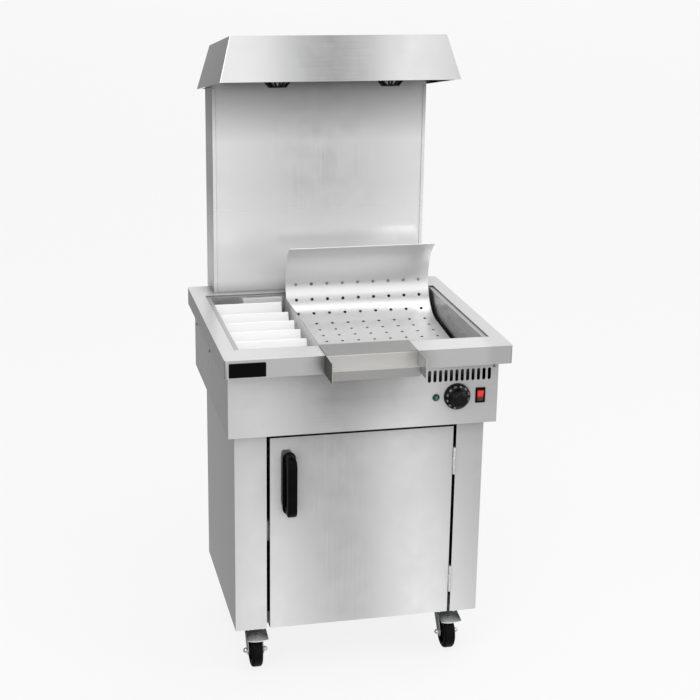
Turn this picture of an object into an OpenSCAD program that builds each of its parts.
// Chip scuttle: a heated chip bagging station on castors, in millimetres.
// +Z is up, the front faces -Y, and the origin is on the floor at the centre of the footprint.

/* [Worktop] */
// Width of the worktop
worktop_w = 600; // [540:5:800]
// Depth of the worktop
worktop_d = 575; // [550:5:700]
// Height of the worktop surface above the floor
worktop_h = 750; // [700:5:850]
// Height of the folded apron
apron_h = 39; // [30:1:50]
// Sheet thickness of the worktop
worktop_t = 1.5; // [1.2:0.1:2]
// Corner radius of the worktop
worktop_r = 5; // [3:0.5:10]
// Width of the flange folded in under the apron
apron_flange = 9; // [6:0.5:9.5]

/* [Well] */
// Distance from the worktop's side to the well's side wall
well_side = 41; // [40:1:65]
// Distance from the apron to the well's front wall
well_front = 79; // [76:1:95]
// Distance from the well's back wall to the worktop's back edge
well_rear = 95; // [95:1:116]
// Height from the well's floor to the worktop surface
well_depth = 130; // [115:1:145]
// Width of the rebate round the well
ledge_w = 11; // [8:1:14]
// Drop of the rebate below the worktop surface
ledge_drop = 3; // [2:0.5:6]
// Place of the partition, from the middle of the well
partition_x = 90; // [60:1:120]
// Thickness of the partition
partition_t = 1.5; // [1:0.1:2]
// Drop of the partition's top edge below the worktop surface
partition_drop = 5; // [4:0.5:10]

/* [Heating] */
// Thickness of the heating element's flattened tube
element_h = 8; // [6:0.5:10]
// Number of runs of the element
element_runs = 4; // [3:1:6]
// Distance from the well's side to the element's bends
element_inset = 90; // [60:1:110]
// Distance from the well's front wall to the first run
element_front = 60; // [57:1:75]
// Length of the element's tail
element_tail = 40; // [20:1:60]
// Width of the element's straps
strap_w = 18; // [12:1:24]
// Thickness of the element's straps
strap_t = 1; // [0.8:0.1:1.5]
// Reach of a strap past the outer runs
strap_over = 25; // [20:1:30]
// Length of a strap's tab
strap_tab = 15; // [10:1:18]
// Length of the thermostat's phial
phial_l = 46; // [35:1:46]

/* [Casing and cupboard] */
// Sheet thickness of the casing, cupboard, door and hood
sheet_t = 1.2; // [1:0.1:1.5]
// Inset of the control casing from the worktop's side
casing_inset = 13; // [12:0.5:20]
// Setback of the fascia from the apron
casing_front = 47; // [40:1:60]
// Distance from the worktop's back edge to the casing's back
casing_back = 23; // [15:1:30]
// Height from the casing's bottom to the worktop surface
casing_h = 183; // [178:1:200]
// Inset of the cupboard's side from the casing's side
cupboard_inset = 17; // [10:0.5:25]
// Setback of the cupboard from the fascia
cupboard_front = 32; // [25:1:40]
// Distance from the casing's back to the cupboard's back
cupboard_back = 60; // [40:1:80]
// Width of the stile on the handle side
stile_left_w = 68; // [50:1:80]
// Width of the stile on the hinge side
stile_right_w = 60; // [50:1:80]
// Depth of the folded flanges of the cupboard
flange_w = 20; // [15:1:25]
// Height of the upturned edge of the cupboard floor
floor_lip = 28; // [20:1:35]
// Height of the rail above the door
rail_h = 12; // [8:1:20]

/* [Door] */
// Gap between the door and the stile on the handle side
door_gap_left = 7; // [4:0.5:9]
// Gap between the door and the stile on the hinge side
door_gap_right = 6.4; // [6:0.1:9]
// Gap above the door
door_gap_top = 4.5; // [3:0.5:6]
// Gap below the door, to the underside of the cupboard
door_gap_low = 0.5; // [0.5:0.5:3]
// Thickness of the door
door_t = 20; // [18:1:25]
// Height of a hinge
hinge_h = 59; // [45:1:70]
// Distance from the door's end to the hinge
hinge_end = 50; // [35:1:60]
// Radius of the hinge knuckle
knuckle_r = 2.9; // [2.7:0.1:2.9]
// Radius of the hinge pin
hinge_pin_r = 1.5; // [1.2:0.1:1.6]
// Running clearance of the hinge pin
hinge_play = 0.05; // [0.03:0.01:0.1]
// Distance from the door's edge to the handle's middle
handle_inset = 41; // [30:1:60]
// Distance from the door's top to the handle's top
handle_drop = 34; // [20:1:80]
// Length of the handle
handle_l = 140; // [110:5:180]
// Width of the handle's base
handle_base_w = 28; // [24:1:34]
// Width of the grip
grip_w = 20; // [16:1:22]
// Thickness of the grip
grip_t = 12; // [9:1:16]
// Distance from the door to the front of the grip
handle_reach = 40; // [34:1:50]

/* [Controls] */
// Height of the controls' centre line above the casing's bottom
control_h = 62; // [55:1:75]
// Distance from the casing's side to the dial's middle
dial_side = 89; // [77:1:117]
// Distance from the casing's side to the pilot lamp's middle
pilot_side = 135; // [132:1:167]
// Distance from the casing's side to the switch's middle
switch_side = 38; // [27:1:47]
// Radius of the dial's skirt
dial_r = 28; // [22:0.5:30]
// Height of the dial
dial_h = 27; // [20:1:32]
// Radius of the dial's cap
cap_r = 17.5; // [14:0.5:19]
// Radius of the thermostat's spindle
spindle_r = 3; // [2.5:0.5:4]
// Running clearance of the spindle and of the switch's pivot
control_play = 0.05; // [0.03:0.01:0.1]
// Radius of the pilot lamp's rim
pilot_r = 7.5; // [6:0.5:9]
// Width of the switch's bezel
switch_w = 21; // [18:0.5:24]
// Height of the switch's bezel
switch_h = 33; // [30:0.5:36]
// Tilt of the rocker to each side
rocker_tilt = 8; // [5:1:10]
// Number of vent slots
slot_n = 12; // [8:1:12]
// Distance between slots
slot_pitch = 11.86; // [10:0.02:12]
// Width of a slot
slot_w = 7; // [4:0.5:8]
// Height of a slot
slot_h = 26; // [18:1:30]
// Distance from the casing's side to the last slot's middle
slot_side = 20; // [17:1:25]
// Height of the slots' middle below the worktop surface
slot_drop = 74; // [66:1:80]

/* [Chip slide] */
// Clearance of the slide from the partition
slide_gap = 2; // [1:0.5:6]
// Clearance of the slide from the well's side
slide_side_gap = 6.5; // [2:0.5:10]
// Sheet thickness of the slide
slide_t = 1.5; // [1.2:0.1:2]
// Clearance of the slide's rearmost point from the well's back wall
slide_back_gap = 5; // [0:1:10]
// Height of the slide's rearmost point above the worktop surface
slide_mid_h = 27; // [15:1:40]
// Radius of the upper bend
slide_top_r = 106; // [90:1:120]
// Angle of the upper bend
slide_top_angle = 58; // [40:1:65]
// Radius of the lower bend
slide_low_r = 85; // [75:1:90]
// Slope of the slide's floor
slide_slope = 5; // [3:0.5:7]
// Radius of a hole
hole_r = 3.6; // [2.5:0.1:4.5]
// Distance between holes across the slide
hole_pitch_x = 36.5; // [30:0.5:37]
// Distance between rows of holes along the sheet
hole_pitch_l = 35.6; // [34:0.2:37]
// Number of holes across
hole_n = 9; // [5:1:9]
// Number of rows of holes
row_n = 12; // [8:1:12]
// Distance along the sheet from its rearmost point to the first row
row_start = 6; // [4.5:0.5:15]

/* [Bag rack] */
// Number of dividers
divider_n = 5; // [3:1:5]
// Distance between dividers
divider_pitch = 68.5; // [55:0.5:70]
// Lean of the dividers from upright
divider_lean = 24; // [10:1:28]
// Sheet thickness of the rack
rack_t = 1.2; // [1:0.1:1.5]
// Clearance of the rack from the walls
rack_gap = 2; // [1:0.5:5]
// Drop of the dividers' top edges below the worktop surface
divider_drop = 10; // [7:0.5:20]
// Distance from the well's back wall to the rear divider's top edge
divider_back = 34; // [30:1:50]
// Distance from the first divider's top edge to the second one's
divider_first = 85; // [60:1:86]
// Gap between the dividers' free ends and the partition
divider_end_gap = 12; // [4:0.5:15]

/* [Front tray] */
// Width of the front tray
tray_w = 191; // [150:1:220]
// Sheet thickness of the tray
tray_t = 1.5; // [1.2:0.1:2]
// Depth of the tray's shelf
tray_shelf = 26; // [20:1:35]
// Drop of the shelf below the worktop surface
tray_drop = 27; // [20:1:32]
// Height of the shelf's folded lip
tray_lip = 19; // [12:1:22]
// Reach of the cheeks in front of the apron
tray_reach = 66; // [50:1:75]
// Height of the cheeks
tray_cheek_h = 41; // [35:1:45]

/* [Gantry] */
// Width of the gantry
gantry_w = 492; // [430:2:510]
// Depth of the gantry
gantry_d = 111; // [90:1:130]
// Distance from the gantry's front to the worktop's back edge
gantry_set = 58; // [50:1:65]
// Height of the gantry above the worktop surface
gantry_h = 515; // [450:5:560]
// Depth of the gantry's foot below the worktop surface
gantry_foot = 150; // [100:5:170]
// Width of the bright edge folded on the gantry's front
gantry_edge = 7; // [5:0.5:10]
// Width of the rear cover's folded edges
cover_fold = 16; // [12:1:20]
// Gap between the rear cover and the top of the gantry's side
cover_gap = 4; // [3:0.5:6]

/* [Hood] */
// Width of the hood at its rim
hood_w = 520; // [510:2:600]
// Depth of the hood at its rim
hood_d = 375; // [345:1:400]
// Height of the hood
hood_h = 96; // [80:1:120]
// Tilt of the hood
hood_tilt = 9.5; // [5:0.5:12]
// Reach of the hood's front rim in front of the gantry
hood_reach = 221; // [197:1:237]
// Height of the hood's front rim above the worktop surface
hood_rim_h = 507; // [480:1:530]
// Inward lean of the hood's sides
hood_side_in = 26; // [15:1:40]
// Inward lean of the hood's front
hood_front_in = 16; // [10:1:30]
// Inward lean of the hood's back
hood_back_in = 50; // [20:1:60]
// Gap between the lamp plate and the hood's sides
lamp_plate_gap = 37; // [20:1:60]
// Rise of the lamp plate above the rim
lamp_plate_rise = 8; // [5:1:15]
// Distance between the lamps
lamp_spacing = 249; // [200:1:300]
// Distance from the hood's front rim to the lamps
lamp_back = 82; // [60:1:110]
// Radius of the lamp guards' upper ring
guard_r = 33; // [28:1:38]
// Radius of the lamp guards' lower ring
guard_low_r = 18; // [14:1:22]
// Height of the lamp guards
guard_h = 17; // [12:1:22]
// Number of ribs in a lamp guard
guard_ribs = 8; // [6:1:10]
// Height of the lamp holders
holder_h = 34; // [32:1:40]

/* [Castors] */
// Height of a castor, from the floor to the cupboard
castor_h = 112; // [108:1:125]
// Radius of the wheels
wheel_r = 37.5; // [32:0.5:38.5]
// Width of the wheels
wheel_w = 24; // [20:1:26]
// Distance from the swivel's axis to the axle
castor_trail = 31; // [25:1:35]
// Radius of the axle
axle_r = 4; // [3:0.5:5]
// Running clearance of the wheels and swivels
castor_play = 0.06; // [0.03:0.01:0.1]
// Distance from the cupboard's side to the swivel's axis
castor_side = 51; // [48:1:60]
// Distance from the cupboard's front to the swivel's axis
castor_front = 80; // [70:1:90]
// Distance from the cupboard's back to the swivel's axis
castor_back = 58; // [50:1:70]
// Reach of the brake pedal from the swivel's axis
pedal_reach = 68; // [60:1:75]
// Rise of the brake pedal's edges above its middle
pedal_dish = 4; // [2:0.5:6]
// Width of the brake pedal
pedal_w = 46; // [40:1:50]

/* [Hidden] */
$fn = 48;
steel = "gainsboro";
bright = "whitesmoke";
dark_steel = "darkgray";
zinc = "silver";
black = [0.1, 0.1, 0.11];

// Depths are measured back from the apron's front face
gantry_front = worktop_d - gantry_set;
hood_front = gantry_front - hood_reach;
hood_back = hood_front + hood_d * cos(hood_tilt);
front_y = (tray_reach - hood_back) / 2;
function at_y(depth) = front_y + depth;

top_z = worktop_h;
well_x = worktop_w / 2 - well_side;
well_back = worktop_d - well_rear;
well_d = well_back - well_front;
well_floor_z = top_z - well_depth;
ledge_z = top_z - ledge_drop - worktop_t;
tank_flange = ledge_w - 2;
part_x = -partition_x;
casing_x = worktop_w / 2 - casing_inset;
casing_z = top_z - casing_h;
casing_rear = worktop_d - casing_back;
cup_x = casing_x - cupboard_inset;
cup_front = casing_front + cupboard_front;
cup_rear = casing_rear - cupboard_back;
cup_h = casing_z - castor_h;
door_x0 = -cup_x + stile_left_w + door_gap_left;
door_x1 = cup_x - stile_right_w - door_gap_right;
door_w = door_x1 - door_x0;
door_z0 = castor_h + door_gap_low;
door_z1 = casing_z - rail_h - door_gap_top;
door_h = door_z1 - door_z0;
hinge_x = door_x1 + door_gap_right / 2;
hinge_y = cup_front - 0.5;
leaf_t = 1.4;
leaf_d = 16;
leaf_gap = 0.5;
stile_return = door_t + 2;
control_z = casing_z + control_h;
dial_x = casing_x - dial_side;
pilot_x = casing_x - pilot_side;
switch_x = casing_x - switch_side;
slot_x = casing_x - slot_side;
fascia_back = casing_front + sheet_t;

// Clearances, and how far a cut runs past the face that it opens
rest_gap = 0.3;
tray_rest = 0.3;
slip = 0.2;
hinge_slip = 0.15;
cutout_gap = 0.5;
over = 1;

module rounded_rect(w, d, r) {
    square([w - 2 * r, d], center = true);
    square([w, d - 2 * r], center = true);
    for (sx = [-1, 1])
        for (sy = [-1, 1])
            translate([sx * (w / 2 - r), sy * (d / 2 - r)])
                circle(r);
}

// A block between two depths, two widths and two heights
module block(x0, x1, d0, d1, z0, z1) {
    translate([x0, at_y(d0), z0])
        cube([x1 - x0, d1 - d0, z1 - z0]);
}

// A profile drawn in depth and height, drawn out along X
module side_profile(x0, x1) {
    translate([x0, at_y(0), 0])
        rotate([90, 0, 90])
            linear_extrude(x1 - x0)
                children();
}

// A round bar along +Y from one depth to another
module bar_y(x, z, d0, d1, r) {
    translate([x, at_y(d0), z])
        rotate([-90, 0, 0])
            cylinder(r = r, h = d1 - d0);
}

// A round bar along +X
module bar_x(x0, x1, d, z, r) {
    translate([x0, at_y(d), z])
        rotate([0, 90, 0])
            cylinder(r = r, h = x1 - x0);
}

// Worktop: folded sheet with a deep apron, a rebate round the well and a return flange
module worktop() color(steel) {
    rim_x = well_x + ledge_w;
    difference() {
        translate([0, at_y(worktop_d / 2), top_z - apron_h])
            linear_extrude(apron_h)
                rounded_rect(worktop_w, worktop_d, worktop_r);
        translate([0, at_y(worktop_d / 2), top_z - apron_h + worktop_t])
            linear_extrude(apron_h - 2 * worktop_t)
                rounded_rect(worktop_w - 2 * worktop_t, worktop_d - 2 * worktop_t, worktop_r - worktop_t);
        translate([0, at_y(worktop_d / 2), top_z - apron_h - over])
            linear_extrude(apron_h / 2)
                square([worktop_w - 2 * (worktop_t + apron_flange),
                        worktop_d - 2 * (worktop_t + apron_flange)], center = true);
        block(-rim_x, rim_x, well_front - ledge_w, well_back + ledge_w, top_z - apron_h, top_z + over);
    }
    difference() {
        block(-rim_x - worktop_t, rim_x + worktop_t, well_front - ledge_w - worktop_t,
              well_back + ledge_w + worktop_t, ledge_z, top_z - worktop_t / 2);
        block(-rim_x, rim_x, well_front - ledge_w, well_back + ledge_w, top_z - ledge_drop, top_z + over);
        block(-well_x, well_x, well_front, well_back, ledge_z - over, top_z);
    }
}

// Well tank: an open box hung under the rebate by its flange
module well_tank() color(dark_steel) {
    difference() {
        union() {
            block(-well_x - sheet_t, well_x + sheet_t, well_front - sheet_t, well_back + sheet_t,
                  well_floor_z - sheet_t, ledge_z);
            block(-well_x - tank_flange, well_x + tank_flange, well_front - tank_flange,
                  well_back + tank_flange, ledge_z - sheet_t, ledge_z);
        }
        block(-well_x, well_x, well_front, well_back, well_floor_z, ledge_z + over);
    }
}

// Partition between the bag rack and the chip slide, with a foot folded to the slide's side
module well_partition() color(steel) {
    foot_w = 14;
    foot_end = 12;
    top = top_z - partition_drop;
    block(part_x - partition_t / 2, part_x + partition_t / 2, well_front, well_back, well_floor_z, top);
    block(part_x, part_x + foot_w, well_front + foot_end, well_back - foot_end,
          well_floor_z, well_floor_z + partition_t);
}

element_r = element_h / 2;
element_z = well_floor_z - sheet_t - element_r;
element_pitch = (well_d - 2 * element_front) / (element_runs - 1);
element_half = well_x - element_inset;
element_d0 = well_front + element_front;

// Heating element: a flattened serpentine pressed to the tank's underside
module heating_element() color("dimgray") {
    translate([0, at_y(element_d0), element_z - element_r])
        linear_extrude(2 * element_r) {
            for (i = [0 : element_runs - 1])
                translate([-element_half - (i == 0 ? element_tail : 0), i * element_pitch - element_r])
                    square([2 * element_half + (i == 0 ? element_tail : 0), 2 * element_r]);
            for (i = [0 : element_runs - 2])
                translate([i % 2 == 0 ? element_half : -element_half, (i + 0.5) * element_pitch])
                    mirror([i % 2, 0])
                        half_ring(element_pitch / 2 - element_r, element_pitch / 2 + element_r);
        }
}

// Half of a flat ring, on the +X side
module half_ring(r_in, r_out) {
    difference() {
        circle(r_out);
        circle(r_in);
        translate([-2 * r_out, -r_out])
            square(2 * r_out);
    }
}

// Clamps: two joggled straps spot-welded under the tank, each holding the tube up
module element_clamps() color(dark_steel) {
    strap_x = element_half * 0.6;
    strap_z = element_z - element_r - strap_t;
    tank_z = well_floor_z - sheet_t;
    d0 = element_d0 - strap_over;
    d1 = element_d0 + (element_runs - 1) * element_pitch + strap_over;
    for (x = [-strap_x, strap_x]) {
        block(x - strap_w / 2, x + strap_w / 2, d0, d1, strap_z, strap_z + strap_t);
        for (d = [d0, d1 - strap_t])
            block(x - strap_w / 2, x + strap_w / 2, d, d + strap_t, strap_z, tank_z);
        for (d = [d0 + strap_t - strap_tab, d1 - strap_t])
            block(x - strap_w / 2, x + strap_w / 2, d, d + strap_tab, tank_z - strap_t, tank_z);
    }
}

// Upper casing: one sheet folded round the sides and the back
module upper_casing() color(steel) {
    z1 = top_z - worktop_t;
    difference() {
        block(-casing_x, casing_x, fascia_back, casing_rear, casing_z, z1);
        block(-casing_x + sheet_t, casing_x - sheet_t, fascia_back - over, casing_rear - sheet_t,
              casing_z + sheet_t, z1 + over);
        block(-casing_x + flange_w, casing_x - flange_w, fascia_back - over, casing_rear - flange_w,
              casing_z - over, z1);
        bar_y(gland_x, gland_z, casing_rear - sheet_t - over, casing_rear + over, gland_thread_r);
    }
}

// Fascia: front panel with the vent slots, the control cut-outs and a bottom flange
module fascia_panel() color(steel) {
    difference() {
        union() {
            block(-casing_x, casing_x, casing_front, fascia_back, casing_z, top_z - worktop_t);
            block(-casing_x + sheet_t + flange_w, casing_x - sheet_t - flange_w, casing_front,
                  cup_front + flange_w, casing_z, casing_z + sheet_t);
        }
        for (i = [0 : slot_n - 1])
            translate([slot_x - i * slot_pitch, at_y(casing_front - over), top_z - slot_drop])
                rotate([-90, 0, 0])
                    linear_extrude(sheet_t + 2 * over)
                        slot_shape(slot_w, slot_h);
        bar_y(dial_x, control_z, casing_front - over, fascia_back + over, bush_r + slip);
        bar_y(pilot_x, control_z, casing_front - over, fascia_back + over, pilot_body_r);
        block(switch_x - switch_body_w / 2 - cutout_gap, switch_x + switch_body_w / 2 + cutout_gap,
              casing_front - over, fascia_back + over,
              control_z - switch_body_h / 2 - cutout_gap, control_z + switch_body_h / 2 + cutout_gap);
    }
}

module slot_shape(w, h) {
    square([w, h - w], center = true);
    for (s = [-1, 1])
        translate([0, s * (h - w) / 2])
            circle(w / 2);
}

// Casing floor: tray that closes the element chamber and carries the terminal block
module casing_floor() color(dark_steel) {
    x = casing_x - sheet_t - cutout_gap;
    block(-x, x, fascia_back + cutout_gap, casing_rear - sheet_t - cutout_gap,
          casing_z + sheet_t, casing_z + 2 * sheet_t);
}

// One side of the cupboard: the sheet runs on round the front stile and returns behind it.
// The plan is drawn for the right side, x counted inwards from the outside face.
module cabinet_side(stile, mirrored) color(steel) {
    depth = cup_rear - cup_front;
    translate([mirrored ? -cup_x : cup_x, at_y(cup_front), castor_h])
        mirror([mirrored ? 0 : 1, 0, 0]) {
            linear_extrude(cup_h) {
                square([sheet_t, depth]);
                square([stile, sheet_t]);
                translate([stile - sheet_t, 0])
                    square([sheet_t, stile_return]);
                translate([0, depth - sheet_t])
                    square([flange_w, sheet_t]);
            }
            for (z = [0, cup_h - sheet_t])
                translate([0, 0, z])
                    linear_extrude(sheet_t)
                        square([flange_w, depth]);
        }
}
module cabinet_left_side() cabinet_side(stile_left_w, true);
module cabinet_right_side() cabinet_side(stile_right_w, false);

// Cupboard back: a flat sheet on the inside of the side flanges
module cabinet_back() color(steel) {
    block(-cup_x + sheet_t + rest_gap, cup_x - sheet_t - rest_gap, cup_rear - 2 * sheet_t, cup_rear - sheet_t,
          castor_h + 2 * sheet_t, casing_z - sheet_t);
}

// Cupboard floor: a pan with its front, back and side edges turned up
module cabinet_floor() color(steel) {
    x = cup_x - sheet_t - rest_gap;
    door_room = 4;
    d0 = cup_front + door_t + door_room;
    d1 = cup_rear - 2 * sheet_t - rest_gap;
    z0 = castor_h + sheet_t;
    difference() {
        block(-x, x, d0, d1, z0, z0 + floor_lip);
        block(-x + sheet_t, x - sheet_t, d0 + sheet_t, d1 - sheet_t, z0 + sheet_t, z0 + floor_lip + over);
    }
    block(-cup_x + flange_w + over, cup_x - flange_w - over, d0, d1, castor_h, z0);
}

// Rail between the stiles above the door, folded back under the casing
module header_rail() color(steel) {
    x0 = -cup_x + stile_left_w;
    x1 = cup_x - stile_right_w;
    block(x0, x1, cup_front, cup_front + sheet_t, casing_z - rail_h, casing_z);
    block(x0, x1, cup_front, cup_front + flange_w, casing_z - sheet_t, casing_z);
    block(x0, x1, cup_front, cup_front + flange_w / 2, casing_z - rail_h, casing_z - rail_h + sheet_t);
}

gantry_x = gantry_w / 2;
gantry_back = gantry_front + gantry_d;
gantry_top = top_z + gantry_h;
gantry_foot_z = top_z - gantry_foot;
gantry_slope = tan(hood_tilt);
gantry_step = worktop_d + 1;

// Outline of the gantry's side: it stands on the worktop and reaches down behind it
module gantry_side() {
    polygon([[gantry_front, top_z], [gantry_front, gantry_top],
             [gantry_back - sheet_t, gantry_top - gantry_slope * gantry_d],
             [gantry_back - sheet_t, gantry_foot_z], [gantry_step, gantry_foot_z], [gantry_step, top_z]]);
}

// Gantry front: the sheet wraps the front and both sides
module gantry_front_panel() color(steel) {
    x = gantry_x - sheet_t;
    edge_gap = 4;
    for (s = [-gantry_x, x])
        side_profile(s, s + sheet_t)
            gantry_side();
    block(-gantry_x, gantry_x, gantry_front, gantry_front + sheet_t, top_z, gantry_top);
    for (s = [-1, 1])
        block(s * gantry_x - (s > 0 ? gantry_edge : 0), s * gantry_x + (s < 0 ? gantry_edge : 0),
              gantry_front - sheet_t, gantry_front, top_z, hood_line(gantry_front) - edge_gap);
    block(-x, x, gantry_front, worktop_d, top_z, top_z + sheet_t);
    block(-x, x, gantry_step, gantry_step + sheet_t, gantry_foot_z, top_z);
    block(-x, x, gantry_step, gantry_back - sheet_t, gantry_foot_z, gantry_foot_z + sheet_t);
    for (s = [-1, 1])
        tie_channel(s * gantry_x / 2);
}

// Channel that ties the gantry's foot to the casing's back
module tie_channel(x) {
    half = 20;
    web_t = 2;
    z1 = top_z - apron_h - 2;
    difference() {
        block(x - half, x + half, casing_rear, gantry_step, gantry_foot_z, z1);
        block(x - half + web_t, x + half - web_t, casing_rear + sheet_t, gantry_step - sheet_t,
              gantry_foot_z - over, z1 + over);
    }
}

// Height of the hood's rim plane at a depth
function hood_line(depth) = top_z + hood_rim_h - gantry_slope * (depth - hood_front);

// Gantry back: a flat cover with its edges turned in between the sides
module gantry_rear_cover() color(steel) {
    x = gantry_x - sheet_t - slip;
    z1 = gantry_top - gantry_slope * gantry_d - cover_gap;
    block(-gantry_x, gantry_x, gantry_back - sheet_t, gantry_back, gantry_foot_z, z1);
    for (s = [-1, 1])
        block(s > 0 ? x - sheet_t : -x, s > 0 ? x : -x + sheet_t,
              gantry_back - cover_fold, gantry_back - sheet_t, gantry_foot_z + 2 * sheet_t, z1);
}

// Places children in the hood's tilted frame: its origin is the middle of the front rim
module in_hood() {
    translate([0, at_y(hood_front), top_z + hood_rim_h])
        rotate([-hood_tilt, 0, 0])
            children();
}

// Truncated pyramid of the hood, made thinner all round by t
module hood_solid(t, z0) {
    intersection() {
        rotate([90, 0, 90])
            linear_extrude(hood_w, center = true)
                polygon([[t, z0], [hood_front_in * (1 - t / hood_h) + t, hood_h - t],
                         [hood_d - hood_back_in - t, hood_h - t], [hood_d - t, z0]]);
        translate([0, hood_d, 0])
            rotate([90, 0, 0])
                linear_extrude(hood_d)
                    polygon([[-hood_w / 2 + t, z0], [-hood_w / 2 + hood_side_in + t, hood_h - t],
                             [hood_w / 2 - hood_side_in - t, hood_h - t], [hood_w / 2 - t, z0]]);
    }
}

// Canopy: folded hood with a narrow rim flange turned in
module canopy_shell() color(steel) {
    rim = 9;
    in_hood()
        difference() {
            hood_solid(0, 0);
            hood_solid(sheet_t, sheet_t);
            translate([-hood_w / 2 + rim, rim, -over])
                cube([hood_w - 2 * rim, hood_d - 2 * rim, sheet_t + 1.5 * over]);
        }
}

// Inside face of the hood's side at a height above its rim
function hood_inner_x(z) = hood_w / 2 - sheet_t - hood_side_in * (z - sheet_t) / (hood_h - 2 * sheet_t);

// Brackets: folded angles that fix the hood's sides to the gantry's sides
module canopy_brackets() color(dark_steel) {
    t = 1.5;
    low = 4;
    high = 32;
    bracket_l = gantry_d - 30;
    d0 = hood_reach / cos(hood_tilt) + 14;
    in_hood()
        for (s = [0, 1])
            mirror([s, 0, 0])
                translate([0, d0 + bracket_l, 0])
                    rotate([90, 0, 0])
                        linear_extrude(bracket_l)
                            polygon([[gantry_x, low], [hood_inner_x(low), low], [hood_inner_x(high), high],
                                     [hood_inner_x(high) - t, high], [hood_inner_x(low + t) - t, low + t],
                                     [gantry_x + t, low + t], [gantry_x + t, high], [gantry_x, high]]);
}

lamp_plate_x = hood_w / 2 - lamp_plate_gap;
lamp_plate_front = 3;
lamp_plate_back = (hood_reach - rest_gap) / cos(hood_tilt) - lamp_plate_rise * gantry_slope - 3;
cup_r = guard_r - 2;
holder_lid = 1.5;

// Lamp plate: hangs inside the hood on side brackets, with the lamps' openings
module lamp_plate() color(dark_steel) {
    side_h = 24;
    side_gap = 3;
    hanger_w = 20;
    hanger_x = lamp_plate_x * 0.9;
    hanger_d = hood_d * 0.35;
    in_hood() {
        difference() {
            translate([-lamp_plate_x, lamp_plate_front, lamp_plate_rise])
                cube([2 * lamp_plate_x, lamp_plate_back - lamp_plate_front, sheet_t]);
            for (s = [-1, 1])
                translate([s * lamp_spacing / 2, lamp_back, 0])
                    cylinder(r = guard_r - 4, h = lamp_plate_rise * 3);
        }
        for (s = [-1, 1])
            translate([s > 0 ? lamp_plate_x - sheet_t : -lamp_plate_x, lamp_plate_front + side_gap,
                       lamp_plate_rise])
                cube([sheet_t, lamp_plate_back - lamp_plate_front - 3 * side_gap, side_h]);
        // hangers up to the hood's top
        for (s = [-1, 1])
            translate([s * hanger_x - hanger_w / 2, hanger_d, lamp_plate_rise])
                cube([hanger_w, sheet_t, hood_h - sheet_t - lamp_plate_rise]);
    }
}

// Places children under each lamp's opening, at a height above the rim
module at_lamps(z) {
    in_hood()
        for (s = [-1, 1])
            translate([s * lamp_spacing / 2, lamp_back, z])
                children();
}

module ring(r_out, r_in, z, h) {
    translate([0, 0, z])
        difference() {
            cylinder(r = r_out, h = h);
            translate([0, 0, -over])
                cylinder(r = r_in, h = h + 2 * over);
        }
}

// Lamp guards: two rings joined by sloping ribs
module lamp_guards() color(black) {
    ring_t = 4;
    low_t = 3;
    rib_w = 4.2;
    at_lamps(lamp_plate_rise) {
        ring(guard_r, guard_r - 5, -ring_t, ring_t);
        ring(guard_low_r, guard_low_r - 7, -guard_h, low_t);
        for (i = [0 : guard_ribs - 1])
            rotate([0, 0, (i + 0.5) * 360 / guard_ribs])
                rotate([90, 0, 0])
                    linear_extrude(rib_w, center = true)
                        polygon([[guard_r - 1, -ring_t / 2], [guard_r - 4, -0.5],
                                 [guard_low_r - 4, -guard_h + low_t], [guard_low_r - 2, -guard_h],
                                 [guard_low_r + 1, -guard_h]]);
    }
}

// Lamp holders: round cups standing on the lamp plate
module lamp_holders() color(zinc) {
    wall = 1.2;
    at_lamps(lamp_plate_rise + sheet_t)
        difference() {
            cylinder(r = cup_r, h = holder_h);
            translate([0, 0, -over])
                cylinder(r = cup_r - wall, h = holder_h - holder_lid + over);
        }
}

// Lamp bulbs: reflector lamps with a shallow domed face and a neck up to the holder's lid
module lamp_bulbs() color("white") {
    face_r = guard_r - 7;
    bulge = 3;
    rim_h = 1.5;
    shell_h = 24;
    neck_r = 12;
    neck_z = 30;
    proud = 2;
    top = proud + sheet_t + holder_h - holder_lid;
    at_lamps(lamp_plate_rise - proud)
        rotate_extrude()
            polygon([[0, -bulge], [face_r * 0.5, -bulge * 0.73], [face_r * 0.85, -bulge * 0.27],
                     [face_r, rim_h], [face_r * 0.9, shell_h / 3], [face_r * 0.5, shell_h],
                     [neck_r, neck_z], [neck_r, top], [0, top]]);
}

bush_r = spindle_r + 1.8;
thermo_d = 22;
spindle_out = 15;
spindle_in = 15;

// Thermostat: switch body behind the fascia with a flanged spindle bush
module thermostat_body() color("tan") {
    w = 40;
    h = 34;
    bush_front = casing_front - 1.5;
    difference() {
        union() {
            block(dial_x - w / 2, dial_x + w / 2, fascia_back, fascia_back + thermo_d,
                  control_z - h / 2, control_z + h / 2);
            bar_y(dial_x, control_z, bush_front, fascia_back, bush_r);
        }
        bar_y(dial_x, control_z, bush_front - over, fascia_back + spindle_in + 1, spindle_r + control_play);
    }
}

// Phial: the thermostat's sensor under the tank, with its clip and the lead to the body
module thermostat_phial() color("peru") {
    tank_z = well_floor_z - sheet_t;
    phial_r = 3;
    lead_r = 1;
    clip_w = 9;
    clip_l = 8;
    clip_t = 1;
    tab = 7.5;
    x = dial_x - 10;
    d0 = well_front + 5;
    clip_d = d0 + 16;
    bar_y(x, tank_z - phial_r, fascia_back + thermo_d, d0, lead_r);
    bar_y(x, tank_z - phial_r, d0, d0 + phial_l, phial_r);
    block(x - clip_w / 2, x + clip_w / 2, clip_d, clip_d + clip_l, tank_z - 2 * phial_r - clip_t, tank_z);
    block(x - clip_w / 2 - tab, x + clip_w / 2 + tab, clip_d, clip_d + clip_l, tank_z - clip_t, tank_z);
}

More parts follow.
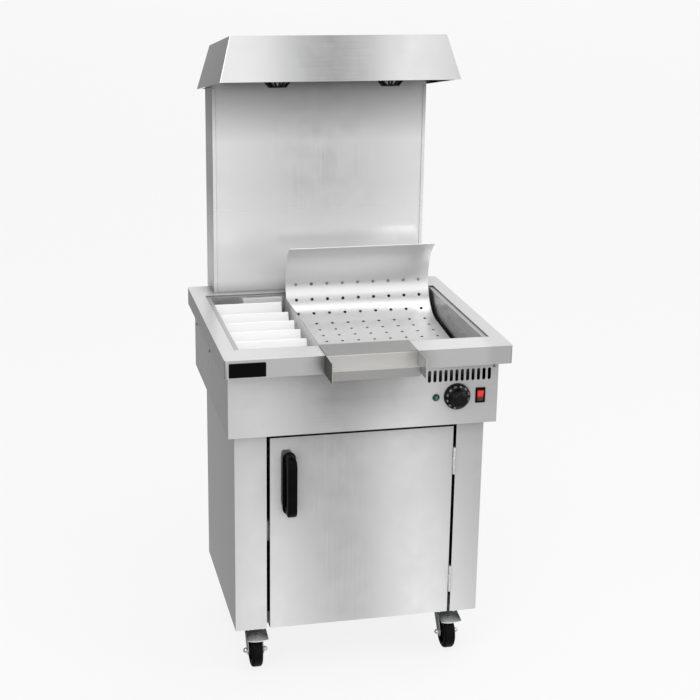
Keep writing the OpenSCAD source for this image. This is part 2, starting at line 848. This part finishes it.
// Spindle: turns with the dial
module thermostat_spindle() color(zinc) {
    bar_y(dial_x, control_z, casing_front - spindle_out, fascia_back + spindle_in, spindle_r);
}

// Dial: a bevelled skirt with a tapered cap
module control_knob() color(black) {
    gap = 2;
    translate([dial_x, at_y(casing_front - gap), control_z])
        rotate([90, 0, 0])
            difference() {
                rotate_extrude()
                    polygon([[0, 0], [dial_r, 0], [dial_r, 2], [dial_r - 1.5, 4], [cap_r + 3, 8],
                             [cap_r + 1, 9.5], [cap_r, 12], [cap_r - 1.5, dial_h - 3],
                             [cap_r - 3.5, dial_h - 1], [cap_r - 6, dial_h], [0, dial_h]]);
                translate([0, 0, -over])
                    cylinder(r = spindle_r, h = spindle_out - gap + over);
                translate([0, 0, -over])
                    cylinder(r = spindle_r + 3, h = 2 + over);
            }
}

pilot_body_r = pilot_r - 1.5;

// Pilot lamp: rim, domed lens and a body behind the fascia
module pilot_lamp() color("seagreen") {
    body_d = 22;
    translate([pilot_x, at_y(casing_front), control_z])
        rotate([90, 0, 0])
            rotate_extrude()
                polygon([[0, -body_d], [pilot_body_r, -body_d], [pilot_body_r, 0], [pilot_r, 0],
                         [pilot_r, 1.5], [pilot_r - 1, 2.2], [pilot_r - 2.2, 4], [pilot_r - 4.5, 5.2],
                         [0, 5.8]]);
}

switch_body_w = switch_w - 3;
switch_body_h = switch_h - 4;
rocker_w = switch_w - 8;
rocker_h = switch_h - 9;
pivot_d = casing_front + 5;
pivot_r = 1;

// Switch housing: bezel on the fascia, open well for the rocker, body behind
module switch_housing() color(black) {
    bezel_t = 2;
    body_d = 20;
    hollow_d = 12;
    x = rocker_w / 2 + 0.6;
    z = rocker_h / 2 + 1.2;
    difference() {
        union() {
            block(switch_x - switch_w / 2, switch_x + switch_w / 2, casing_front - bezel_t, casing_front,
                  control_z - switch_h / 2, control_z + switch_h / 2);
            block(switch_x - switch_body_w / 2, switch_x + switch_body_w / 2,
                  casing_front, fascia_back + body_d,
                  control_z - switch_body_h / 2, control_z + switch_body_h / 2);
        }
        block(switch_x - x, switch_x + x, casing_front - bezel_t - over, casing_front + hollow_d,
              control_z - z, control_z + z);
    }
    // pivot pin of the rocker
    bar_x(switch_x - x - 0.1, switch_x + x + 0.1, pivot_d, control_z, pivot_r);
}

// Rocker: two flat faces that meet in a shallow V over the pivot
module rocker_button() color("red") {
    translate([0, at_y(pivot_d), control_z])
        rotate([rocker_tilt, 0, 0])
            difference() {
                translate([switch_x - rocker_w / 2, 0, 0])
                    rotate([90, 0, 90])
                        linear_extrude(rocker_w)
                            polygon([[-6.5, 0], [-6.5 - rocker_h / 2 * sin(rocker_tilt), rocker_h / 2],
                                     [2, rocker_h / 2 - 2.6], [5, 3], [5, -3], [2, -rocker_h / 2 + 2.6],
                                     [-6.5 - rocker_h / 2 * sin(rocker_tilt), -rocker_h / 2]]);
                translate([switch_x - rocker_w, 0, 0])
                    rotate([0, 90, 0])
                        cylinder(r = pivot_r + control_play, h = 2 * rocker_w);
            }
}

// Terminal block on the casing floor: a base with three poles
module terminal_block() color("ivory") {
    base_w = 44;
    base_d = 18;
    base_t = 6;
    pole = 10;
    pole_pitch = 14;
    pole_h = 11;
    side_gap = 70;
    back_gap = 60;
    x0 = casing_x - side_gap;
    d0 = casing_rear - back_gap;
    z0 = casing_z + 2 * sheet_t;
    block(x0, x0 + base_w, d0, d0 + base_d, z0, z0 + base_t);
    for (i = [0 : 2])
        translate([3 + i * pole_pitch, 0, 0])
            block(x0, x0 + pole, d0 + 2, d0 + base_d - 2, z0 + base_t, z0 + base_t + pole_h);
}

gland_x = casing_x - 19;
gland_z = casing_z + 45;
gland_bore_r = 4.5;
gland_thread_r = 8;

// Cable gland: bush through the casing's back with a hexagon nut on each side
module cable_gland() color(black) {
    nut_r = gland_thread_r + 3.5;
    outer_t = 6;
    inner_t = 5;
    bush_l = 10;
    collar_l = 6;
    translate([gland_x, at_y(casing_rear), gland_z])
        rotate([-90, 0, 0])
            difference() {
                union() {
                    translate([0, 0, -bush_l])
                        cylinder(r = gland_thread_r, h = 2 * bush_l);
                    cylinder(r = nut_r, h = outer_t, $fn = 6);
                    translate([0, 0, -sheet_t - inner_t])
                        cylinder(r = nut_r, h = inner_t, $fn = 6);
                    translate([0, 0, bush_l])
                        cylinder(r = gland_thread_r - 0.5, h = collar_l);
                }
                translate([0, 0, -bush_l - over])
                    cylinder(r = gland_bore_r, h = 2 * bush_l + collar_l + 2 * over);
            }
}

// Door skin: a pan with all four edges folded back
module door_skin() color(steel) {
    difference() {
        block(door_x0, door_x1, cup_front, cup_front + door_t - sheet_t, door_z0, door_z1);
        block(door_x0 + sheet_t, door_x1 - sheet_t, cup_front + sheet_t, cup_front + door_t + over,
              door_z0 + sheet_t, door_z1 - sheet_t);
    }
}

// Door liner: a lid that closes the pan from behind, with edges reaching in
module door_liner() color(dark_steel) {
    x0 = door_x0 + sheet_t + slip;
    x1 = door_x1 - sheet_t - slip;
    z0 = door_z0 + sheet_t + slip;
    z1 = door_z1 - sheet_t - slip;
    d1 = cup_front + door_t;
    d0 = d1 - 10;
    block(door_x0, door_x1, d1 - sheet_t, d1, door_z0, door_z1);
    difference() {
        block(x0, x1, d0, d1 - sheet_t, z0, z1);
        block(x0 + sheet_t, x1 - sheet_t, d0 - over, d1 - sheet_t, z0 + sheet_t, z1 - sheet_t);
    }
}

handle_x = door_x0 + handle_inset;
handle_z1 = door_z1 - handle_drop;
handle_z0 = handle_z1 - handle_l;
foot_l = 22;

// Handle: a moulded bow with rounded shoulders on a long base
module door_handle() color(black) {
    base_t = 3;
    margin = 1.5;
    outer_r = 24;
    inner_r = 12;
    bow_l = handle_l - 2 * margin;
    translate([handle_x, at_y(cup_front), (handle_z0 + handle_z1) / 2])
        rotate([90, 0, 0]) {
            linear_extrude(base_t)
                slot_shape(handle_base_w, handle_l);
            intersection() {
                translate([0, 0, base_t - 1])
                    linear_extrude(handle_reach)
                        slot_shape(grip_w, bow_l);
                rotate([0, 90, 0])
                    linear_extrude(handle_base_w, center = true)
                        difference() {
                            bow(bow_l + over, handle_reach, outer_r);
                            bow(bow_l - 2 * foot_l, handle_reach - grip_t, inner_r);
                        }
            }
        }
}

// Side outline of the bow, in the plane of its reach and its length, with two rounded corners
module bow(l, reach, r) {
    translate([-reach + r, -l / 2])
        square([reach - r, l]);
    translate([-reach, -l / 2 + r])
        square([reach, l - 2 * r]);
    for (s = [-1, 1])
        translate([-reach + r, s * (l / 2 - r)])
            circle(r);
}

// Handle screws: through the door skin into the handle's feet
module handle_screws() color(zinc) {
    head_r = 4.5;
    head_t = 3;
    for (z = [handle_z0 + foot_l / 2, handle_z1 - foot_l / 2])
        bar_y(handle_x, z, cup_front + sheet_t, cup_front + sheet_t + head_t, head_r);
}

hinge_low = door_z0 + hinge_end;
hinge_high = door_z1 - hinge_end - hinge_h;

// Knuckles of a hinge: three parts, the middle one on the door
module knuckle(z0, i) {
    part_h = hinge_h / 3;
    translate([hinge_x, at_y(hinge_y), z0 + i * part_h + hinge_slip])
        difference() {
            cylinder(r = knuckle_r, h = part_h - 2 * hinge_slip);
            translate([0, 0, -over])
                cylinder(r = hinge_pin_r + hinge_play, h = part_h + 2 * over);
        }
}

// Fixed leaves, on the stile's return
module hinge_frame_leaves() color(zinc) {
    stile_x = cup_x - stile_right_w;
    for (z0 = [hinge_low, hinge_high]) {
        for (i = [0, 2]) {
            knuckle(z0, i);
            difference() {
                block(stile_x - leaf_t, stile_x, hinge_y, hinge_y + leaf_d,
                      z0 + i * hinge_h / 3 + hinge_slip, z0 + (i + 1) * hinge_h / 3 - hinge_slip);
                translate([hinge_x, at_y(hinge_y), z0 - over])
                    cylinder(r = hinge_pin_r + hinge_play, h = hinge_h + 2 * over);
            }
        }
        block(stile_x - leaf_t, stile_x, hinge_y + knuckle_r + leaf_gap, hinge_y + leaf_d,
              z0 + hinge_slip, z0 + hinge_h - hinge_slip);
    }
}

// Moving leaves, on the door's edge
module hinge_door_leaves() color(zinc) {
    for (z0 = [hinge_low, hinge_high]) {
        knuckle(z0, 1);
        difference() {
            block(door_x1, door_x1 + leaf_t, hinge_y, hinge_y + leaf_d,
                  z0 + hinge_h / 3 + hinge_slip, z0 + 2 * hinge_h / 3 - hinge_slip);
            translate([hinge_x, at_y(hinge_y), z0 - over])
                cylinder(r = hinge_pin_r + hinge_play, h = hinge_h + 2 * over);
        }
        block(door_x1, door_x1 + leaf_t, hinge_y + knuckle_r + leaf_gap, hinge_y + leaf_d,
              z0 + hinge_slip, z0 + hinge_h - hinge_slip);
    }
}

// Hinge pins with a head at each end
module hinge_pins() color(zinc) {
    head_t = 1.2;
    for (z0 = [hinge_low, hinge_high])
        translate([hinge_x, at_y(hinge_y), z0]) {
            cylinder(r = hinge_pin_r, h = hinge_h);
            for (z = [-head_t, hinge_h])
                translate([0, 0, z])
                    cylinder(r = knuckle_r - slip, h = head_t);
        }
}

catch_z = (door_z0 + door_z1) / 2;

// Magnetic catch on the stile's return: a plate, a box behind it and the magnet's face
module door_catch() color("white") {
    stile_x = -cup_x + stile_left_w;
    return_d = cup_front + stile_return;
    plate = 3;
    half_h = 22;
    box_d = 14;
    face_t = 0.7;
    block(stile_x - sheet_t - plate, stile_x + 18, return_d, return_d + box_d,
          catch_z - half_h, catch_z + half_h);
    block(stile_x - sheet_t - plate, stile_x - sheet_t, cup_front + 4, return_d,
          catch_z - half_h, catch_z + half_h);
    block(stile_x + 1, stile_x + 16, return_d - face_t, return_d, catch_z - 15, catch_z + 15);
}

// Strike plate on the door liner
module catch_strike() color(zinc) {
    w = 14;
    t = 1;
    half_h = 18;
    block(door_x0 + 1, door_x0 + 1 + w, cup_front + door_t, cup_front + door_t + t,
          catch_z - half_h, catch_z + half_h);
}

plate_t = 3;
plate_l = 84;
plate_w = 64;
plate_r = 6;
race_h = 14.5;
kingpin_r = 5;
fork_top_z = castor_h - plate_t - race_h;
fork_t = 2.5;
nut_h = 4;
nut_r = 9;
leg_front = -17;
leg_back = 20;
eye_r = 11;
fork_in = wheel_w / 2 + 3.2;
castor_x = cup_x - castor_side;
castor_df = cup_front + castor_front;
castor_dr = cup_rear - castor_back;

// Castor plates: top plate, ball race and kingpin, four alike
module castor_plates() color(zinc) {
    for (sx = [-1, 1])
        for (d = [castor_df, castor_dr])
            translate([sx * castor_x, at_y(d), 0]) {
                translate([0, 0, castor_h - plate_t])
                    linear_extrude(plate_t)
                        rounded_rect(plate_l, plate_w, plate_r);
                translate([0, 0, fork_top_z + rest_gap])
                    rotate_extrude()
                        polygon([[0, 0], [16, 0], [19, 2], [20, 5], [22, 6], [22, 11], [26, 13],
                                 [27, race_h - rest_gap], [0, race_h - rest_gap]]);
                translate([0, 0, fork_top_z - fork_t - nut_h - rest_gap]) {
                    cylinder(r = kingpin_r, h = fork_t + nut_h + 1);
                    cylinder(r = nut_r, h = nut_h, $fn = 6);
                }
            }
}

// Outline of a fork leg in depth and height, from the swivel's axis
module fork_leg() {
    polygon([[leg_back, fork_top_z], [leg_back, fork_top_z - 12], [-castor_trail + eye_r, wheel_r - 4],
             [-castor_trail - eye_r, wheel_r], [leg_front, fork_top_z - 8], [leg_front, fork_top_z]]);
    translate([-castor_trail, wheel_r])
        circle(eye_r);
}

// Castor fork: a crown under the race and two legs down to the axle
module castor_fork(sx, d, braked) color(zinc) {
    half = fork_in + fork_t;
    translate([sx * castor_x, at_y(d), 0])
        difference() {
            union() {
                for (s = [-1, 1])
                    translate([s > 0 ? fork_in : -half, 0, 0])
                        rotate([90, 0, 90])
                            linear_extrude(fork_t)
                                fork_leg();
                translate([-half, leg_front, fork_top_z - fork_t])
                    cube([2 * half, leg_back - leg_front, fork_t]);
                if (braked)
                    translate([-half, pedal_pin_d, pedal_pin_z])
                        rotate([0, 90, 0])
                            cylinder(r = pedal_pin_r, h = 2 * half);
            }
            translate([0, 0, fork_top_z - fork_t - over])
                cylinder(r = kingpin_r + castor_play, h = fork_t + 2 * over);
            translate([-half - over, -castor_trail, wheel_r])
                rotate([0, 90, 0])
                    cylinder(r = axle_r, h = 2 * (half + over));
        }
}

// Axle: a bolt with a hexagon and a domed end on both sides
module castor_axle(sx, d) color(zinc) {
    half = fork_in + fork_t;
    hex_t = 3;
    hex_r = 7;
    dome_r = 6;
    translate([sx * castor_x, at_y(d) - castor_trail, wheel_r])
        rotate([0, 90, 0]) {
            translate([0, 0, -half])
                cylinder(r = axle_r, h = 2 * half);
            for (s = [0, 1])
                mirror([0, 0, s])
                    translate([0, 0, half]) {
                        cylinder(r = hex_r, h = hex_t, $fn = 6);
                        rotate_extrude()
                            polygon([[0, 0], [dome_r, 0], [dome_r, hex_t + 1], [dome_r * 0.9, hex_t + 3],
                                     [dome_r * 0.65, hex_t + 5], [dome_r * 0.3, hex_t + 6.2],
                                     [0, hex_t + 6.5]]);
                    }
        }
}

// Wheel: tyre with rounded shoulders, dished sides and a long hub
module castor_wheel(sx, d) color(black) {
    w = wheel_w / 2;
    hub = fork_in - rest_gap;
    hub_r = 10;
    web = 5;
    shoulder = 6;
    tread = 13;
    bore = axle_r + castor_play;
    translate([sx * castor_x, at_y(d) - castor_trail, wheel_r])
        rotate([0, 90, 0])
            rotate_extrude($fn = 72)
                difference() {
                    union() {
                        translate([bore, -hub])
                            square([hub_r - bore, 2 * hub]);
                        translate([bore, -w + web])
                            square([wheel_r - bore - shoulder, 2 * (w - web)]);
                        translate([wheel_r - tread, -w])
                            square([tread - shoulder, 2 * w]);
                        translate([wheel_r - tread, -w + shoulder])
                            square([tread, 2 * (w - shoulder)]);
                        for (s = [-1, 1])
                            translate([wheel_r - shoulder, s * (w - shoulder)])
                                circle(shoulder);
                    }
                    translate([0, -2 * w])
                        square([bore, 4 * w]);
                }
}

pedal_pin_d = -8;
pedal_pin_z = fork_top_z - fork_t - 8;
pedal_pin_r = 2;
pedal_t = 2;
brake_z = 2 * wheel_r + 3;
pedal_drop = 12;

// Height of the pedal's underside at a distance from its pin
function pedal_z(d) = 2.6 + d * pedal_drop / (pedal_reach + pedal_pin_d);

// Cross-section of the pedal's wide plate: an arc that opens upwards
module pedal_arc() {
    half = pedal_w / 2;
    arc_r = (half * half + pedal_dish * pedal_dish) / (2 * pedal_dish);
    intersection() {
        translate([0, arc_r])
            difference() {
                circle(arc_r + pedal_t / 2, $fn = 96);
                circle(arc_r - pedal_t / 2, $fn = 96);
            }
        translate([-half, -pedal_t])
            square([pedal_w, 2 * pedal_dish + 2 * pedal_t]);
    }
}

// Brake pedal: flat neck between the legs, wide plate curved across, riveted tongue over the wheel
module brake_pedal(sx) color(zinc) {
    neck_w = 2 * fork_in - 2;
    neck_end = -24;
    lap = 3;
    tip = -pedal_reach - pedal_pin_d;
    lug_t = 2;
    lug = 4;
    tongue = 4;
    tongue_d = -20;
    rivet_r = 4;
    rivet_h = 2;
    rivet_d = neck_end - 14;
    pitch = atan(pedal_drop / (pedal_reach + pedal_pin_d));
    translate([sx * castor_x, at_y(castor_df) + pedal_pin_d, pedal_pin_z])
        difference() {
            union() {
                across(neck_w)
                    polygon([[-1, pedal_z(-1)], [-1, pedal_z(-1) + pedal_t],
                             [neck_end - lap, pedal_z(neck_end - lap) + pedal_t],
                             [neck_end - lap, pedal_z(neck_end - lap)]]);
                translate([0, neck_end, pedal_z(neck_end) + pedal_t / 2])
                    rotate([90 + pitch, 0, 0])
                        linear_extrude((neck_end - tip) / cos(pitch))
                            pedal_arc();
                across(neck_w - 8)
                    polygon([[tongue_d, brake_z - pedal_pin_z], [tongue_d, 0], [tongue_d + tongue, 0],
                             [tongue_d + tongue, brake_z - pedal_pin_z]]);
                for (s = [-1, 1])
                    translate([s * (neck_w / 2 - 1.5), 0, 0])
                        across(lug_t)
                            polygon([[-lug, -lug], [-lug, lug + 0.5], [lug, lug + 0.5], [lug, -lug]]);
                translate([0, rivet_d, pedal_z(rivet_d) + pedal_t / 2])
                    cylinder(r = rivet_r, h = pedal_t / 2 + rivet_h);
            }
            rotate([0, 90, 0])
                cylinder(r = pedal_pin_r + castor_play, h = 2 * neck_w, center = true);
        }
}

// A profile drawn in depth and height, centred across X
module across(w) {
    rotate([90, 0, 90])
        linear_extrude(w, center = true)
            children();
}

module castor_fork_front_left() castor_fork(-1, castor_df, true);
module castor_fork_front_right() castor_fork(1, castor_df, true);
module castor_fork_rear_left() castor_fork(-1, castor_dr, false);
module castor_fork_rear_right() castor_fork(1, castor_dr, false);
module castor_axle_front_left() castor_axle(-1, castor_df);
module castor_axle_front_right() castor_axle(1, castor_df);
module castor_axle_rear_left() castor_axle(-1, castor_dr);
module castor_axle_rear_right() castor_axle(1, castor_dr);
module castor_wheel_front_left() castor_wheel(-1, castor_df);
module castor_wheel_front_right() castor_wheel(1, castor_df);
module castor_wheel_rear_left() castor_wheel(-1, castor_dr);
module castor_wheel_rear_right() castor_wheel(1, castor_dr);
module brake_pedal_left() brake_pedal(-1);
module brake_pedal_right() brake_pedal(1);

slide_x0 = part_x + partition_t / 2 + slide_gap;
slide_x1 = well_x - slide_side_gap;
slide_w = slide_x1 - slide_x0;
slide_mid_x = (slide_x0 + slide_x1) / 2;
slide_cz = top_z + slide_mid_h;
slide_back = well_back - slide_back_gap;
upper_cy = slide_back - slide_top_r;
lower_cy = slide_back - slide_low_r;
bend_end = 90 - slide_slope;
floor_d0 = lower_cy + slide_low_r * cos(bend_end);
floor_z0 = slide_cz - slide_low_r * sin(bend_end);
slide_end = well_front + 4;
floor_l = (floor_d0 - slide_end) / cos(slide_slope);
foot_z = floor_z0 - floor_l * sin(slide_slope);

bend_l = slide_low_r * bend_end * PI / 180;

// A row of holes at a distance along the sheet, square to it
module hole_row(l) {
    angle = l < bend_l ? l / slide_low_r * 180 / PI : bend_end;
    run = max(0, l - bend_l);
    for (i = [0 : hole_n - 1])
        translate([slide_mid_x + (i - (hole_n - 1) / 2) * hole_pitch_x,
                   at_y(lower_cy + slide_low_r * cos(angle) - run * cos(slide_slope)),
                   slide_cz - slide_low_r * sin(angle) - run * sin(slide_slope)])
            rotate([90 - angle, 0, 0])
                cylinder(r = hole_r, h = 4 * slide_t, center = true);
}

// Chip slide: perforated sheet that curls forward at the top and runs out as a shallow floor.
// The floor sits a hair inside the bend, so the two sheets meet in one clean line.
module chip_slide() color(steel) {
    bite = 0.02;
    run_in = 2.2;
    floor_t = slide_t - 0.05;
    difference() {
        union() {
            translate([slide_x0, at_y(upper_cy), slide_cz])
                rotate([90, 0, 90])
                    rotate_arc(slide_top_r, slide_t, slide_top_angle, slide_w);
            translate([slide_x0, at_y(lower_cy), slide_cz])
                rotate([90, 0, 90])
                    mirror([0, 1, 0])
                        rotate_arc(slide_low_r, slide_t, bend_end, slide_w);
            translate([slide_x0, at_y(floor_d0), floor_z0])
                rotate([slide_slope, 0, 0])
                    translate([0, -floor_l, bite - floor_t])
                        cube([slide_w, floor_l + run_in, floor_t]);
            block(slide_x0, slide_x1, slide_end, slide_end + slide_t,
                  well_floor_z + rest_gap, foot_z - slide_t / 2);
        }
        // no row cuts the line where the bend meets the floor, or the foot
        for (i = [0 : row_n - 1])
            let (l = row_start + i * hole_pitch_l)
                if (abs(l - bend_l) > hole_r + run_in && l < bend_l + floor_l - 2 * hole_r)
                    hole_row(l);
    }
}

// A curved sheet of width w: the arc from 0 to a, cut from a tube
module rotate_arc(r, t, a, w) {
    rotate_extrude(angle = a, $fn = 96)
        translate([r, 0])
            square([t, w]);
}

// Stay behind the slide: an angle that rests on the rebate at the well's back
module slide_stay() color(steel) {
    w = slide_w * 0.6;
    stay_t = 1.2;
    stay_rise = 8;
    d0 = slide_back + slide_t;
    z0 = top_z - ledge_drop + rest_gap;
    block(slide_mid_x - w / 2, slide_mid_x + w / 2, d0, d0 + stay_t, z0, slide_cz + stay_rise);
    block(slide_mid_x - w / 2, slide_mid_x + w / 2, d0, well_back + ledge_w - 2, z0, z0 + stay_t);
}

rack_x0 = -well_x + rack_gap;
rack_x1 = part_x - partition_t / 2 - rack_gap;
rack_z = well_floor_z + rest_gap;
rack_top = top_z - divider_drop;
divider_x1 = part_x - partition_t / 2 - divider_end_gap;
divider_h = well_depth - divider_drop - rest_gap - rack_t;
divider_run = divider_h * tan(divider_lean);
bay_d = well_back - divider_back + rack_t + rest_gap;
bay_w = 70;
bay_top = ledge_z - 2;

// Depth of a divider's top edge
function divider_d(i) = well_back - divider_back - (i == 0 ? 0 : divider_first + (i - 1) * divider_pitch);

// Rack base: a tray with low ends, a high left wall, and a wall that closes the rear scoop bay
module rack_base() color(bright) {
    d0 = well_front + rack_gap;
    d1 = well_back - rack_gap;
    end_h = 20;
    bay_x = rack_x0 + bay_w;
    block(rack_x0, rack_x1, d0, d1, rack_z, rack_z + rack_t);
    block(rack_x0, rack_x1, d0, d0 + rack_t, rack_z, rack_z + end_h);
    block(rack_x0, bay_x, d1 - rack_t, d1, rack_z, rack_z + end_h);
    block(rack_x0, rack_x0 + rack_t, d0, d1, rack_z, rack_top);
    block(bay_x, rack_x1 - rack_gap, d1 - rack_t, d1, rack_z, bay_top);
    side_profile(bay_x, bay_x + rack_t)
        polygon([[d1 - rack_t, rack_z + rack_t], [d1 - rack_t, bay_top],
                 [bay_d + (bay_top - rack_top) * tan(divider_lean), bay_top],
                 [bay_d - divider_run, rack_z + rack_t]]);
}

// Dividers: leaning plates, each with a foot folded forward on the base, as many as the well holds
module rack_dividers() color(bright) {
    foot = 12;
    foot_z = rack_z + rack_t;
    front = well_front + rack_gap + rack_t;
    for (i = [0 : divider_n - 1]) {
        top_d = divider_d(i);
        low_d = top_d - divider_run;
        if (low_d - foot > front)
            side_profile(rack_x0 + rack_t, divider_x1)
                polygon([[top_d, rack_top], [top_d + rack_t, rack_top], [low_d + rack_t, foot_z],
                         [low_d - foot, foot_z], [low_d - foot, foot_z + rack_t],
                         [low_d + 0.5, foot_z + rack_t]]);
    }
}

// Front tray: one sheet hooked over the rim, folded down, out and down again
module front_tray() color(steel) {
    rim = well_front - ledge_w;
    x = tray_w / 2;
    z = top_z + tray_rest;
    shelf_z = top_z - tray_drop;
    block(-x, x, -tray_rest - tray_t, rim + tray_rest + tray_t, z, z + tray_t);
    block(-x, x, rim + tray_rest, rim + tray_rest + tray_t, z - ledge_drop, z);
    block(-x, x, -tray_rest - tray_t, -tray_rest, shelf_z - tray_t, z);
    block(-x, x, -tray_rest - tray_shelf, -tray_rest - tray_t, shelf_z - tray_t, shelf_z);
    block(-x, x, -tray_rest - tray_shelf - tray_t, -tray_rest - tray_shelf, shelf_z - tray_lip, shelf_z);
}

// Cheeks: plates welded on the ends of the tray
module tray_cheeks() color(steel) {
    z = top_z + tray_rest + tray_t;
    for (s = [-1, 1])
        block(s > 0 ? tray_w / 2 : -tray_w / 2 - tray_t, s > 0 ? tray_w / 2 + tray_t : -tray_w / 2,
              -tray_reach, -tray_rest, z - tray_cheek_h, z);
}

worktop();
well_tank();
well_partition();
heating_element();
element_clamps();
upper_casing();
fascia_panel();
casing_floor();
cabinet_left_side();
cabinet_right_side();
cabinet_back();
cabinet_floor();
header_rail();
gantry_front_panel();
gantry_rear_cover();
canopy_shell();
canopy_brackets();
lamp_plate();
lamp_guards();
lamp_holders();
lamp_bulbs();
thermostat_body();
thermostat_phial();
thermostat_spindle();
control_knob();
pilot_lamp();
switch_housing();
rocker_button();
terminal_block();
cable_gland();
door_skin();
door_liner();
door_handle();
handle_screws();
hinge_frame_leaves();
hinge_door_leaves();
hinge_pins();
door_catch();
catch_strike();
castor_plates();
castor_fork_front_left();
castor_axle_front_left();
castor_wheel_front_left();
castor_fork_front_right();
castor_axle_front_right();
castor_wheel_front_right();
castor_fork_rear_left();
castor_axle_rear_left();
castor_wheel_rear_left();
castor_fork_rear_right();
castor_axle_rear_right();
castor_wheel_rear_right();
brake_pedal_left();
brake_pedal_right();
chip_slide();
slide_stay();
rack_base();
rack_dividers();
front_tray();
tray_cheeks();
